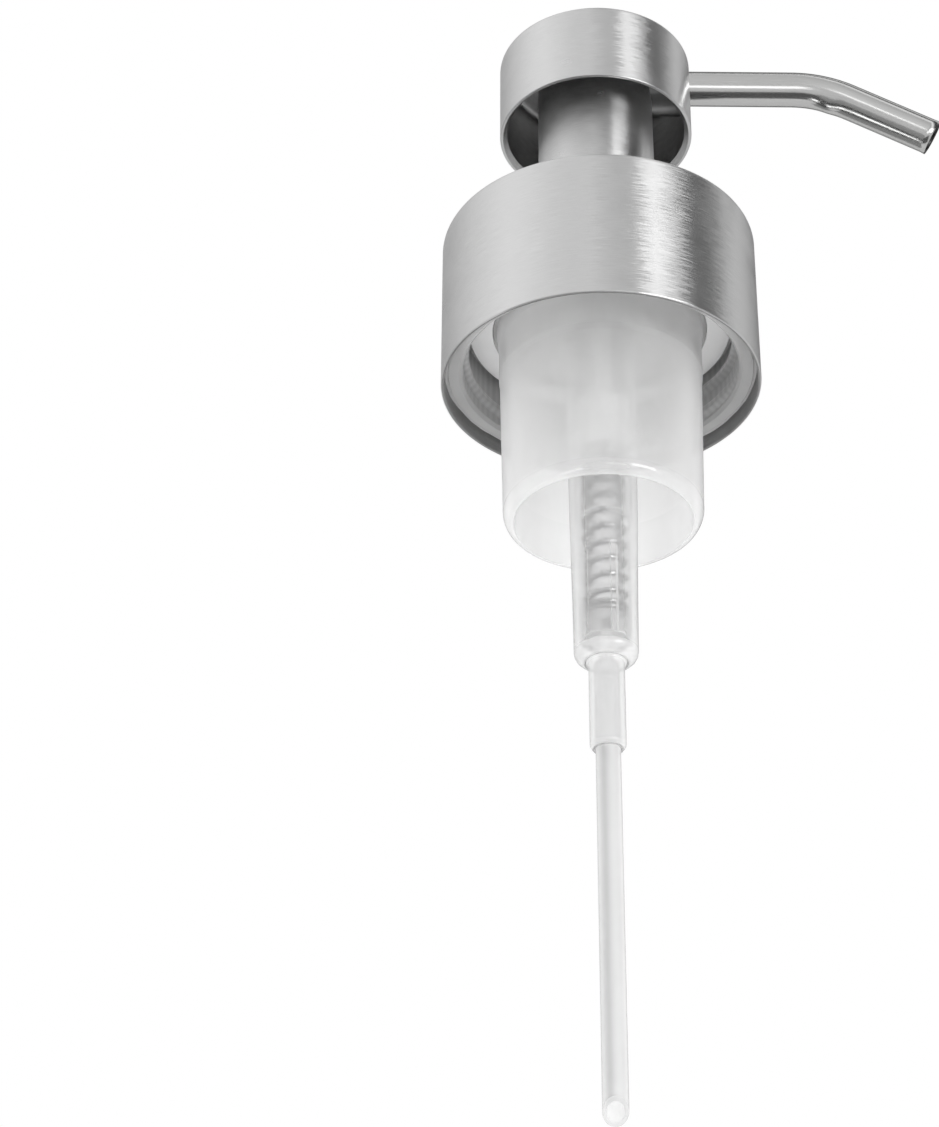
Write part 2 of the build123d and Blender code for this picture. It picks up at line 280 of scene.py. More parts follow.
def brushed_steel(name, polish, fray, streak):
    """Stainless steel brushed round the axis: short fine lines along U.

    polish is the least roughness, fray how far the lines lean and streak how much they
    differ in brightness.

    The lines lean the surface a little along the grain, which frays the edges of every
    reflection, and the grain itself smears reflections across it.
    """
    m = Surface(name)
    uv = m.add("UVMap", uv_map="grain").outputs["UV"]
    lines = m.noise(m.scaled(uv, 1.5, 60, 1), 3.0, 3.0, 0.6)
    strokes = m.noise(m.scaled(uv, 1.2, 16, 1), 3.0, 3.0, 0.65)
    patches = m.noise(m.scaled(uv, 0.7, 1.0, 1), 2.0, 2.0, 0.5)
    tone = m.math("ADD", m.math("MULTIPLY", lines, 0.6), m.math("MULTIPLY", patches, 0.4))
    colour = m.ramp(tone, (0.35, 0.65 - streak), (0.65, 0.65 + streak))
    rough = m.math("ADD", polish, m.math("MULTIPLY", patches, 0.12))
    m.set(Base_Color=colour, Metallic=1.0, Roughness=rough, Anisotropic=1.0)
    tangent = m.add("Tangent", direction_type="UV_MAP", uv_map="grain").outputs[0]
    m.set(Anisotropic_Rotation=0.25, Tangent=tangent)
    lean = m.math("MULTIPLY", m.math("SUBTRACT", strokes, 0.5), fray)
    normal = m.add("NewGeometry").outputs["Normal"]
    leaned = m.add("VectorMath", {0: tangent, 3: lean}, operation="SCALE").outputs[0]
    leaned = m.add("VectorMath", {0: normal, 1: leaned}, operation="ADD").outputs[0]
    leaned = m.add("VectorMath", {0: leaned}, operation="NORMALIZE").outputs[0]
    m.set(Normal=m.bump(lines, 0.08, 0.0001, leaned))
    return m.material


def mill_steel(name, dark, light):
    """The unbrushed inside of a drawn steel piece: darker, with faint draw lines round it. Low
    tones paint shade.
    """
    m = Surface(name)
    uv = m.add("UVMap", uv_map="grain").outputs["UV"]
    lines = m.noise(m.scaled(uv, 0.8, 22, 1), 3.0, 3.0, 0.6)
    clouds = m.noise(m.scaled(uv, 2.0, 3.0, 1), 3.0, 3.0, 0.6)
    tone = m.math("ADD", m.math("MULTIPLY", lines, 0.5), m.math("MULTIPLY", clouds, 0.5))
    colour = m.ramp(tone, (0.35, dark), (0.65, light))
    rough = m.math("ADD", 0.28, m.math("MULTIPLY", clouds, 0.12))
    m.set(Base_Color=colour, Metallic=1.0, Roughness=rough)
    m.set(Normal=m.bump(lines, 0.1, 0.0001))
    return m.material


def satin_tube_steel():
    """Drawn tube: smoother, with faint lines along its length."""
    m = Surface("spout_steel")
    uv = m.add("UVMap", uv_map="grain").outputs["UV"]
    lines = m.noise(m.scaled(uv, 60, 0.8, 1), 3.0, 3.0, 0.6)
    spots = m.noise(m.scaled(uv, 3, 3, 1), 3.0, 4.0, 0.6)
    colour = m.ramp(lines, (0.3, (0.55, 0.55, 0.545)), (0.7, (0.66, 0.66, 0.655)))
    rough = m.math("ADD", 0.16, m.math("MULTIPLY", spots, 0.05))
    m.set(Base_Color=colour, Metallic=1.0, Roughness=rough)
    m.set(Normal=m.bump(lines, 0.03, 0.0001))
    return m.material


def natural_plastic(name, shade, clear, glow, roughness, edge=0.35, blur=0.0, painted_stripes=None):
    """Uncoloured plastic: part is seen straight through, part glows with the light behind.

    clear is the share let through unscattered at each face, and glow the share of the rest
    that is scattered onwards and not back. With blur, things further behind look softer.
    A small edge keeps it clear even where it is seen at a shallow angle. Stripes are upright
    painted shade, darker: so many round the axis, the first at so many degrees, above their foot.
    """
    m = Surface(name)
    place = m.add("TexCoord").outputs["Object"]
    flow = m.noise(m.scaled(place, 60, 60, 20), 3.0, 3.0, 0.5)
    dust = m.noise(place, 1500.0, 2.0, 0.5)
    colour = m.ramp(flow, (0.3, shade - 0.02), (0.7, shade + 0.02))
    if painted_stripes:
        # Painted shade: darker upright stripes mixed into the colour.
        axes = m.add("SeparateXYZ", {0: place}).outputs
        turn = m.math("ARCTAN2", axes[1], axes[0])
        turn = m.math("SUBTRACT", turn, math.radians(painted_stripes["first"]))
        wave = m.math("COSINE", m.math("MULTIPLY", turn, painted_stripes["count"]))
        wave = m.math("MULTIPLY", m.math("ADD", wave, 1.0), 0.5)
        wave = m.math("POWER", wave, painted_stripes["sharpness"])
        above = m.math("GREATER_THAN", axes[2], painted_stripes["foot"] * MM)
        stripe = m.math("MULTIPLY", m.math("MULTIPLY", wave, painted_stripes["strength"]), above)
        darker = {"Factor": stripe, "A": colour, "B": (0.3, 0.3, 0.3, 1)}
        colour = m.add("Mix", darker, data_type="RGBA").outputs["Result"]
    rough = m.math("ADD", roughness, m.math("MULTIPLY", dust, 0.08))
    normal = m.bump(flow, 0.05, 0.0005)
    m.set(Base_Color=colour, Roughness=rough, IOR=1.49, Normal=normal)
    scattered = m.add("BsdfTranslucent", {"Color": colour, "Normal": normal}).outputs[0]
    cloudy = m.mixed(glow, m.shader.outputs[0], scattered)
    aside = m.add("LayerWeight", {"Blend": edge}).outputs["Facing"]
    through = m.math("MULTIPLY", m.math("SUBTRACT", 1.0, aside), clear)
    behind = m.add("BsdfTransparent").outputs[0]
    if blur:
        lifted = {"Color": (1.1, 1.1, 1.1, 1), "Roughness": blur, "IOR": 1.25, "Normal": normal}
        soft = m.add("BsdfRefraction", lifted)
        turned_away = m.add("LayerWeight", {"Blend": 0.5}).outputs["Facing"]
        steep = m.math("MULTIPLY", m.math("SUBTRACT", turned_away, 0.3), 4.0)
        behind = m.mixed(steep, soft.outputs[0], behind)
    seen = m.mixed(through, cloudy, behind)
    shine = m.add("BsdfAnisotropic", {"Roughness": rough, "Normal": normal}).outputs[0]
    graze = m.math("POWER", m.add("LayerWeight", {"Blend": 0.5}).outputs["Facing"], 5.0)
    fresnel = m.math("ADD", 0.04, m.math("MULTIPLY", graze, 0.6))
    out = m.tree.nodes["Material Output"].inputs["Surface"]
    m.tree.links.new(m.mixed(fresnel, seen, shine), out)
    return m.material


def solid_plastic(name, shade, roughness):
    """Opaque moulded plastic or rubber with a fine grain."""
    m = Surface(name)
    place = m.add("TexCoord").outputs["Object"]
    grain = m.noise(place, 2500.0, 3.0, 0.6)
    cloud = m.noise(place, 150.0, 3.0, 0.5)
    colour = m.ramp(cloud, (0.3, shade * 0.96), (0.7, shade))
    rough = m.math("ADD", roughness, m.math("MULTIPLY", grain, 0.12))
    m.set(Base_Color=colour, Roughness=rough, Normal=m.bump(grain, 0.15, 0.00005))
    return m.material


def bright_wire():
    """Drawn spring wire."""
    m = Surface("spring_steel")
    place = m.add("TexCoord").outputs["Object"]
    marks = m.noise(m.scaled(place, 900, 900, 2500), 1.0, 3.0, 0.6)
    colour = m.ramp(marks, (0.3, 0.44), (0.7, 0.56))
    rough = m.math("ADD", 0.22, m.math("MULTIPLY", marks, 0.12))
    m.set(Base_Color=colour, Metallic=1.0, Roughness=rough)
    m.set(Normal=m.bump(marks, 0.1, 0.00003))
    return m.material


STEEL = brushed_steel("brushed_steel", polish=0.24, fray=0.4, streak=0.04)
STEM_STEEL = brushed_steel("stem_steel", polish=0.24, fray=0.4, streak=0.08)
LINING = mill_steel("mill_steel", dark=0.42, light=0.55)
# The cover's inside: unbrushed steel, darkened further as painted shade at its rim and inside.
COVER_LINING_AND_SHADE = mill_steel("cover_lining_and_shade", dark=0.28, light=0.37)
# The spout's bush is painted dark as shade: it sits in the head's shadow.
BOSS_SHADE = mill_steel("boss_steel_shade", dark=0.25, light=0.33)
# Near-black steel inside the spout: painted shade in its bore.
BORE_SHADE = mill_steel("spout_bore_shade", dark=0.03, light=0.07)
TUBE_STEEL = satin_tube_steel()
WIRE = bright_wire()
# The cap's stripes are painted shade along its outside ribs, so that they show through the wall.
CLOSURE = natural_plastic(
    "closure_plastic", shade=0.7, clear=0.6, glow=0.3, roughness=0.3,
    painted_stripes={"count": 90, "first": 0, "sharpness": 1, "strength": 0.28, "foot": -7.8},
)
SLEEVE = natural_plastic("sleeve_plastic", shade=0.93, clear=0.74, glow=0.55, roughness=0.3)
BELL_EDGE = natural_plastic("sleeve_edge", shade=0.95, clear=0.74, glow=0.55, roughness=0.03)
CHAMBER = natural_plastic(
    "chamber_plastic", shade=0.98, clear=0.84, glow=0.6, roughness=0.2, edge=0.2
)
CHAMBER_BORE = natural_plastic(
    "chamber_bore", shade=0.98, clear=0.97, glow=0.7, roughness=0.3, edge=0.08, blur=0.7
)
CHAMBER_SOCKET = natural_plastic(
    "chamber_socket", shade=0.97, clear=0.72, glow=0.6, roughness=0.2, edge=0.2
)
CHAMBER_BASE = natural_plastic("chamber_base", shade=0.97, clear=0.45, glow=0.6, roughness=0.15)
# Milky, opaque flanks of the chamber's ribs: painted highlight, lines of light along the ribs.
RIB_GLINT = natural_plastic("chamber_rib_glint", shade=0.99, clear=0.0, glow=0.7, roughness=0.3)
# The tube's one stripe is painted shade: a dark line along it, standing in for dark refracted in
# its bore.
TUBE = natural_plastic(
    "tube_plastic", shade=0.95, clear=0.62, glow=0.55, roughness=0.2,
    painted_stripes={"count": 1, "first": -117, "sharpness": 25, "strength": 0.5, "foot": dip_low},
)
TUBE_TOP = natural_plastic(
    "tube_top", shade=0.98, clear=0.95, glow=0.6, roughness=0.2, edge=0.2
)
# Darker plastic on the slanted cut: painted shade outlining the tube's end.
TUBE_END_SHADE = natural_plastic("tube_end_shade", shade=0.75, clear=0.35, glow=0.4, roughness=0.12)
GLUE = natural_plastic("adhesive", shade=0.85, clear=0.3, glow=0.4, roughness=0.2)
CAGE = natural_plastic("cage_plastic", shade=0.8, clear=0.5, glow=0.5, roughness=0.3)
BALL = natural_plastic("ball_glass", shade=0.95, clear=0.85, glow=0.5, roughness=0.05)
WHITE = solid_plastic("white_plastic", shade=0.82, roughness=0.35)
ROD = solid_plastic("rod_plastic", shade=0.8, roughness=0.35)
PISTON = solid_plastic("piston_plastic", shade=0.8, roughness=0.4)
FOAM = solid_plastic("gasket_foam", shade=0.88, roughness=0.6)
RUBBER = solid_plastic("seal_rubber", shade=0.7, roughness=0.5)


# --- Pieces ---------------------------------------------------------------------------


def make_collar_cover():
    """The drawn steel cover of the screw cap, with a hole for the stem in its top."""
    hole = 10.97
    inside, ceiling = collar_r - cover_wall, collar_high - cover_wall
    outline = rounded(
        [
            (inside, collar_low, 0.2),
            (collar_r, collar_low, 0.3),
            (collar_r, collar_high, 0.9),
            (hole, collar_high, 0.15),
            (hole, ceiling, 0.1),
            (inside, ceiling, 0.4),
        ]
    )
    cover = turned(
        "collar_cover", outline, "brushed_steel", STEEL, "closure", "collar_shell",
        segments=256,
        parts=[lined(outline, collar_r - 0.2, collar_high - cover_wall / 2, COVER_LINING_AND_SHADE)],
    )
    cover.visible_glossy = False  # its grain would show as a jagged line in the spout


def make_screw_cap():
    """The threaded cap inside the cover, ribbed outside for grip."""
    bore, wall_r, ribs = 22.5, 24.9, 90
    rib_low, deck_low, deck_high, rim = -6.4, 2.05, 3.25, 23.9
    hole = 8.06
    pitch, turns, start, depth = 4.23, 1.15, -6.9, 1.0
    root, crest = 1.05, 0.45
    rib_high, rib_slope, rib_width = insert_high - 0.2, 3, 0.8
    low_fade, high_fade, thread_fade = 0.4, 0.3, 0.06
    outline = rounded(
        [
            (bore + 0.5, insert_low, 0.15),
            (wall_r, insert_low, 0.2),
            (wall_r, insert_high, 0.2),
            (rim, insert_high, 0.2),
            (rim, deck_high, 0.5),
            (hole, deck_high, 0.1),
            (hole, deck_low, 0.1),
            (bore, deck_low, 0.4),
            (bore, insert_low + 0.5, 0.15),
        ],
        steps=4,
    )
    outline = subdivided(outline, insert_low, deck_low, 0.22)

    def shape(r, z, angle):
        rib = np.clip(np.cos(angle * ribs) * rib_slope + rib_width, 0, 1)
        rib = rib * (insert_r - wall_r)
        rise = np.clip((z - rib_low) / low_fade, 0, 1)
        rise = rise * np.clip((rib_high - z) / high_fade, 0, 1)
        outside = (np.abs(r - wall_r) < 0.05) * rise
        ridge = 0 * r * angle
        for lap in (0, 1):
            turned_by = angle / TAU + lap
            ends = np.clip(turned_by / thread_fade, 0, 1)
            ends = ends * np.clip((turns - turned_by) / thread_fade, 0, 1)
            flank = (root - np.abs(z - start - pitch * turned_by)) / (root - crest)
            ridge = np.maximum(ridge, np.clip(flank, 0, 1) * ends * depth)
        inside = np.abs(r - bore) < 0.05
        return r + rib * outside - ridge * inside, z + 0 * angle

    turned(
        "screw_cap", outline, "closure_plastic", CLOSURE, "closure", "closure_insert",
        segments=1080, shape=shape,
    )


def make_glue_line():
    """A hand-laid bead with a wavy edge, between the cap's foot and the cover."""
    inner, deepest = 24.9, 0.5
    outline = rounded(
        [
            (inner, glue_low, 0.1),
            (glue_r, glue_low, 0.15),
            (glue_r, glue_high, 0.1),
            (inner, glue_high, 0.1),
        ],
        guard=0.05,
    )

    def shape(r, z, angle):
        wave = 0.5 + 0.3 * np.sin(5 * angle + 1) + 0.15 * np.sin(17 * angle)
        wave = wave + 0.05 * np.sin(41 * angle)
        low = z < glue_low + 0.3
        return r + 0 * angle, z + low * wave * deepest

    turned(
        "glue_line", outline, "adhesive", GLUE, "closure", "collar_adhesive",
        segments=360, shape=shape,
    )


def make_guide_bush():
    """The plastic ring in the cover's hole that guides the stem."""
    neck, bore, skirt = 10.95, 9.91, 10.7
    bore_low, skirt_roof, roof = 11.8, 11.0, collar_high - cover_wall
    outline = rounded(
        [
            (skirt, bush_low, 0.1),
            (bush_r, bush_low, 0.2),
            (bush_r, roof, 0.1),
            (neck, roof, 0.05),
            (neck, bush_high, 0.12),
            (bore, bush_high, 0.25),
            (bore, bore_low, 0.2),
            (skirt, skirt_roof, 0.2),
        ],
        guard=0.05,
    )
    turned("guide_ring", outline, "white_plastic", WHITE, "closure", "guide_bush")


def make_gasket():
    """The foam ring that seals on the bottle's rim."""
    inner = 17.6
    outline = rounded(
        [
            (inner, gasket_low, 0.1),
            (gasket_r, gasket_low, 0.15),
            (gasket_r, gasket_high, 0.1),
            (inner, gasket_high, 0.1),
        ]
    )
    turned("gasket_ring", outline, "gasket_foam", FOAM, "housing", "neck_gasket")


def make_neck_bell():
    """The bell that plugs the bottle's neck: hub, flange, plug, shoulder and skirt."""
    wall, plug, flare, root = 1.2, 16.55, 16.9, 17.4
    flare_low, plug_high = -0.3, -3.4
    shoulder_high, shoulder_low = -9.6, -10.8
    top, bottom, skirt_wall = 16.4, 15.9, 1.7
    edge, edge_in = 1.2, 1.61
    nose, nose_up = 2.6, 2.19
    hub, hub_low, hub_hole, recess = 10.5, -1.4, 5.95, 8.7
    outline = rounded(
        [
            (hub_hole, hub_low, 0.15),
            (hub, hub_low, 0.4),
            (hub, gasket_high - wall, 0.3),
            (flare - wall, gasket_high - wall, 0.4),
            (plug - wall, plug_high, 1.5),
            (plug - wall, shoulder_high - 0.5, 0.8),
            (top - wall, shoulder_low - 0.5, 0.8),
            (bottom - skirt_wall, skirt_low + 8, 3.0),
            *arc((bottom - edge_in, skirt_low + edge), edge, -95, -45),
            *arc((bottom - nose, skirt_low + nose_up), nose, -45, 0, 12)[1:],
            (top, shoulder_low, 1.0),
            (plug, shoulder_high, 1.0),
            (plug, plug_high, 1.5),
            (flare, flare_low, 0.2),
            (root, 0, 0.05),
            (root, gasket_high, 0.1),
            (flange_r, gasket_high, 0.1),
            (flange_r, flange_high, 0.2),
            (recess, flange_high, 0.1),
            (recess, gasket_high, 0.1),
            (hub_hole, gasket_high, 0.1),
        ],
        steps=6,
    )
    rim = BELL_EDGE, np.array(outline)[:, 1] < skirt_low + 2.1
    turned(
        "neck_bell", outline, "sleeve_plastic", SLEEVE, "housing", "neck_sleeve",
        segments=256, parts=[rim],
    )


def make_chamber():
    """The cylinder with its guide ribs, ball seat and dip-tube socket."""
    flange_low, neck = washer_high, 6.6
    floor, seat, inlet = cage_low, 2.6, 1.1
    bore, narrow, step = 4.5, 4.05, -37.0
    end, low_r, mid_r, top_r = 5.0, 5.1, 5.4, 5.8
    low_z, mid_z = -50.8, -35.8
    bottom, socket, socket_bore = -61.9, 2.78, 1.92
    rib_r, rib_top, rib_count, rib_width, rib_flank = 3.72, -42.3, 5, 1.0, 0.24
    segments = 480
    outline = rounded(
        [
            (inlet, floor - 1.5, 0.1),
            (inlet, dip_high + 0.02, 0.1),
            (socket_bore, dip_high + 0.02, 0.1),
            (socket_bore, socket_low, 0.3),
            (socket, socket_low, 0.9),
            (socket, bottom, 0.3),
            (end, bottom, 1.85),
            (end, floor, 0.4),
            (low_r, low_z, 0.5),
            (mid_r, mid_z, 0.5),
            (top_r, flange_low, 0.3),
            (chamber_flange_r, flange_low, 0.1),
            (chamber_flange_r, flange_high, 0.1),
            (neck, flange_high, 0.2),
            (neck, chamber_high, 0.3),
            (bore, chamber_high, 0.3),
            (bore, step + 0.6, 0.2),
            (narrow, step, 0.2),
            (narrow, floor, 0.35),
            (seat, floor, 0.15),
        ],
        steps=5,
    )
    outline = subdivided(outline, floor, step, 0.5)

    def off_rib(angle):
        """Distance round the bore from the middle of the nearest rib."""
        return np.abs((angle * rib_count / TAU + 0.5) % 1 - 0.5) * TAU / rib_count * narrow

    def shape(r, z, angle):
        rib = np.clip((rib_width / 2 + rib_flank / 2 - off_rib(angle)) / rib_flank, 0, 1)
        rib = rib * np.clip((rib_top - z) / 0.6, 0, 1) * (np.abs(r - narrow) < 0.02)
        return r - rib * (narrow - rib_r), z + 0 * angle

    # Faces with their own plastic: the bore, the thick end, the socket, and the ribs' flanks,
    # which are painted highlight lines.
    radius, height = np.array(outline).T
    bored = np.abs(radius - narrow) < 0.5
    outer = radius > narrow + 0.5
    base = np.where(outer, height < floor - 1.8, height < floor + 0.1)
    base = base & (height > socket_low + 4)
    socketed = (height + np.roll(height, -1)) / 2 < bottom - 0.2
    angle = np.arange(segments)[:, None] * TAU / segments
    flank = (np.abs(off_rib(angle) - rib_width / 2) < 0.1) & (height < rib_top - 0.5)
    flank = flank & (np.abs(radius - narrow) < 0.02)
    turned(
        "pump_cylinder", outline, "chamber_plastic", CHAMBER, "housing", "pump_chamber",
        segments=segments, shape=shape,
        parts=[
            (CHAMBER_BORE, bored), (CHAMBER_BASE, base), (CHAMBER_SOCKET, socketed),
            (RIB_GLINT, flank),
        ],
    )


def make_dip_tube():
    """Thin tube whose lower end is cut on a slant, lowest at the back."""
    bore, cut, cut_face = 1.3, math.radians(40), 0.07
    outline = rounded(
        [
            (bore, dip_low, 0.08),
            (dip_r, dip_low, 0.08),
            (dip_r, socket_low, 0),
            (dip_r, dip_high, 0.1),
            (bore, dip_high, 0.1),
            (bore, socket_low, 0),
        ],
        guard=0.05,
    )

    def shape(r, z, angle):
        near_end = z < dip_low + 1
        return r + 0 * angle, z + near_end * (dip_r - r * np.sin(angle)) * math.tan(cut)

    height = np.array(outline)[:, 1]
    # The cut end gets painted shade.
    end = TUBE_END_SHADE, height < dip_low + cut_face
    held = TUBE_TOP, (height + np.roll(height, -1)) / 2 > socket_low
    turned(
        "suction_tube", outline, "tube_plastic", TUBE, "housing", "dip_tube",
        segments=96, shape=shape, parts=[end, held],
    )


def make_spring():
    """Compression spring with closed coils at both ends."""
    wire, coil, first, gap = 0.42, 3.18, math.radians(159), 0.02
    closed, active, steps, sides = 1.8, 9.3, 40, 14
    low, high = spring_low + wire + gap, spring_high - wire - gap
    pitch_closed = 2 * wire + gap
    pitch = (high - low - 2 * closed * pitch_closed) / active
    laps = active + 2 * closed
    path = []
    for i in range(int(laps * steps) + 1):
        lap = i / steps
        rise = min(lap, closed) * pitch_closed
        rise += min(max(lap - closed, 0), active) * pitch
        rise += max(lap - closed - active, 0) * pitch_closed
        angle = first + TAU * lap
        path.append((coil * math.cos(angle), coil * math.sin(angle), low + rise))
    points = np.array(path)
    way = np.gradient(points, axis=0)
    way /= np.linalg.norm(way, axis=1, keepdims=True)
    out = points * (1, 1, 0)
    out /= np.linalg.norm(out, axis=1, keepdims=True)
    up = np.cross(way, out)
    rings = [
        points + wire * (math.cos(a) * out + math.sin(a) * up)
        for a in np.arange(sides) * TAU / sides
    ]
    spring = grid_mesh(
        "spring_coil", np.stack(rings), False, "spring_steel", WIRE, "housing", "return_spring"
    )
    bm = bmesh.new()
    bm.from_mesh(spring.data)
    bmesh.ops.holes_fill(bm, edges=[e for e in bm.edges if e.is_boundary], sides=0)
    bm.to_mesh(spring.data)
    bm.free()
    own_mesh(spring)


def make_head():
    """The hollow button; its rim is bevelled inside."""
    wall, roof = 1.25, 0.8
    inside = head_r - wall
    outline = rounded(
        [
            (0, head_high - roof, 0),
            (inside, head_high - roof, 1.5),
            (inside, head_low + 0.9, 0.2),
            (head_r - 0.5, head_low, 0.12),
            (head_r, head_low, 0.2),
            (head_r, head_high, 0.9),
            (0, head_high, 0),
        ],
        steps=7,
    )
    turned(
        "head_button", outline, "brushed_steel", STEEL, "head", "head_shell",
        segments=256, parts=[lined(outline, head_r - 0.5, head_high - roof / 2, LINING)],
    )


def make_shroud():
    """The stem below the button, a plain steel tube."""
    wall = 0.7
    outline = rounded(
        [
            (shroud_r - wall, shroud_low, 0.15),
            (shroud_r, shroud_low, 0.25),
            (shroud_r, shroud_high, 0.1),
            (shroud_r - wall, shroud_high, 0.1),
        ]
    )
    turned(
        "stem_tube", outline, "brushed_steel", STEM_STEEL, "head", "stem_shroud",
        segments=192, parts=[lined(outline, shroud_r - wall / 2, shroud_high + 1, LINING)],
    )


def spout_route(slant):
    """Centreline of the spout: a straight run, one bend, and a straight run to the outlet.

    The number of the point in the middle of the bend comes with it.
    """
    height, knee, droop, bend = 52.5, 39.4, math.radians(29.4), 20.0
    straight, bent, drooping = 24, 16, 17
    cut = bend * math.tan(droop / 2)
    end = outlet_far - spout_r * math.hypot(math.sin(droop), slant)
    run = (end - knee) / math.cos(droop)
    route = [(x, 0, height) for x in np.linspace(spout_near, knee - cut, straight)]
    for a in np.linspace(0, droop, bent + 1)[1:]:
        route.append((knee - cut + bend * math.sin(a), 0, height - bend * (1 - math.cos(a))))
    for s in np.linspace(cut, run, drooping + 1)[1:]:
        route.append((knee + s * math.cos(droop), 0, height - s * math.sin(droop)))
    return route, straight - 1 + bent // 2


def make_spout():
    """The bent tube: its underside is folded a little in the bend, its outlet cut on a slant."""
    wall, slant, sides = 0.5, 0.1, 64
    fold_depth, fold_length = 0.13, 0.055
    route, middle = spout_route(slant)
    lengths = np.linalg.norm(np.diff(np.array(route), axis=0), axis=1)
    bend_at = lengths[:middle].sum() / lengths.sum()

    def section(radius, share):
        near_bend = math.exp(-(((share - bend_at) / fold_length) ** 2))
        points = []
        for a in np.arange(sides) * TAU / sides:
            fold = 1 + fold_depth * near_bend * max(0, -math.sin(a)) ** 3
            points.append((math.cos(a) * radius, math.sin(a) * radius * fold))
        return points

    outer = swept_points(route, lambda share: section(spout_r, share))
    inner = swept_points(route, lambda share: section(spout_r - wall, share))
    grid = np.concatenate([outer, inner[:, ::-1]], axis=1)
    last = outer.shape[1] - 1
    inside = np.arange(grid.shape[1]) >= last
    grid[:, last : last + 2, 0] -= slant * grid[:, :2, 1]
    # The inside of the tube gets painted shade.
    grid_mesh(
        "spout", grid, True, "spout_steel", TUBE_STEEL, "head", "spout_tube",
        parts=[(BORE_SHADE, inside)],
    )


def swept_points(route, ring):
    """A grid of points along a route in the XZ plane; ring(share of the way) is a section."""
    path = [Vector(p) for p in route]
    side = Vector((0, 1, 0))
    columns = []
    for i, p in enumerate(path):
        way = (path[min(i + 1, len(path) - 1)] - path[max(i - 1, 0)]).normalized()
        up = way.cross(side).normalized()
        columns.append([tuple(p + side * a + up * b) for a, b in ring(i / (len(path) - 1))])
    return np.array(columns).transpose(1, 0, 2)


def finish_cad_nodes():
    """CAD nodes whose shape is right keep it and get their material."""
    finishes = {
        "spout_bush": BOSS_SHADE,
        "actuator_core": WHITE,
        "locking_cap": WHITE,
        "rod_wiper": RUBBER,
        "chamber_washer": RUBBER,
        "ball_cage": CAGE,
        "inlet_ball": BALL,
        "piston_rod": ROD,
        "piston_tip": ROD,
        "piston_seal": PISTON,
    }
    for name, material in finishes.items():
        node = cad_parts[name]
        node.data.materials.clear()
        node.data.materials.append(material)


make_collar_cover()
make_screw_cap()
make_glue_line()
make_guide_bush()
make_gasket()
make_neck_bell()
make_chamber()
make_dip_tube()
make_spring()
make_head()
make_shroud()
make_spout()
finish_cad_nodes()


# --- Studio ---------------------------------------------------------------------------

PUMP_MIDDLE = Vector((0, 0, -0.03))
SPOUT_MIDDLE = Vector((0.04, 0, 0.05))


def make_world():
    """White behind the pump; what the steel mirrors changes with the compass direction.

    The plastic gets more light from the back than from the front.
    """
    world = bpy.data.worlds.new("studio")
    bpy.context.scene.world = world
    world.use_nodes = True
    world.cycles.sampling_method = "NONE"
    w = Nodes(world.node_tree)
    way = w.add("TexCoord").outputs["Generated"]
    axes = w.add("SeparateXYZ", {0: way}).outputs
    turn = w.math("ARCTAN2", axes["X"], w.math("MULTIPLY", axes["Y"], -1.0))
    share = {"Value": turn, "From Min": -math.pi, "From Max": math.pi}
    # (degrees from the camera's side towards +X, brightness)
    bands = [
        (-180, 0.36), (-150, 0.5), (-130, 0.68), (-105, 0.95), (-68, 1.25), (-35, 1.0),
        (-5, 0.86), (10, 0.7), (21, 0.56), (26, 0.55), (30, 1.25), (42, 1.15), (53, 0.45),
        (60, 0.1), (84, 0.04), (91, 0.42), (98, 0.8), (116, 0.82), (119, 0.5), (122, 0.75),
        (128, 0.62), (140, 0.25), (152, 0.12), (170, 0.2),
    ]
    stops = [((degrees + 180) / 360, light) for degrees, light in bands]
    mirrored = w.ramp(w.add("MapRange", share).outputs[0], *stops)
    back = w.add("VectorMath", {0: way, 1: (0, 0.72, -0.2)}, operation="DOT_PRODUCT")
    backlight = w.math("ADD", back.outputs["Value"], 0.95)
    white = (1, 1, 1, 1)
    kinds = w.add("LightPath").outputs
    shade = mirrored
    for kind, light in (
        ("Is Transmission Ray", white), ("Is Diffuse Ray", backlight), ("Is Camera Ray", white)
    ):
        choice = {"Factor": kinds[kind], "A": shade, "B": light}
        shade = w.add("Mix", choice, data_type="RGBA").outputs["Result"]
    w.put(w.tree.nodes["Background"].inputs["Color"], shade)


def make_floor():
    """A wide pale floor, far enough below that the pump can be seen from underneath."""
    drop = 0.8
    size = 30.0
    mesh = bpy.data.meshes.new("floor")
    corners = [(-size, -size, 0), (size, -size, 0), (size, size, 0), (-size, size, 0)]
    mesh.from_pydata(corners, [], [(0, 1, 2, 3)])
    floor = bpy.data.objects.new("floor", mesh)
    floor.location.z = dip_low * MM - drop
    m = Surface("floor_paint")
    grain = m.noise(m.add("TexCoord").outputs["Object"], 30.0)
    m.set(Base_Color=m.ramp(grain, (0.3, 0.86), (0.7, 0.9)), Roughness=0.6)
    mesh.materials.append(m.material)
    bpy.context.scene.collection.objects.link(floor)


def aim(thing, target, azimuth, elevation, distance):
    """Put the thing at a distance from the target, facing it.

    The azimuth runs from the camera's side towards +X. Both angles are in degrees.
    """
    around, up = math.radians(azimuth), math.radians(elevation)
    way = Vector(
        (math.sin(around) * math.cos(up), -math.cos(around) * math.cos(up), math.sin(up))
    )
    thing.location = target + way * distance
    thing.rotation_euler = way.to_track_quat("Z", "Y").to_euler()


def make_panel(name, width, height, power):
    """A rectangular light that the camera doesn't see."""
    data = bpy.data.lights.new(name, "AREA")
    data.shape = "RECTANGLE"
    data.size, data.size_y = width, height
    data.energy = power
    lamp = bpy.data.objects.new(name, data)
    lamp.visible_camera = False
    bpy.context.scene.collection.objects.link(lamp)
    return lamp


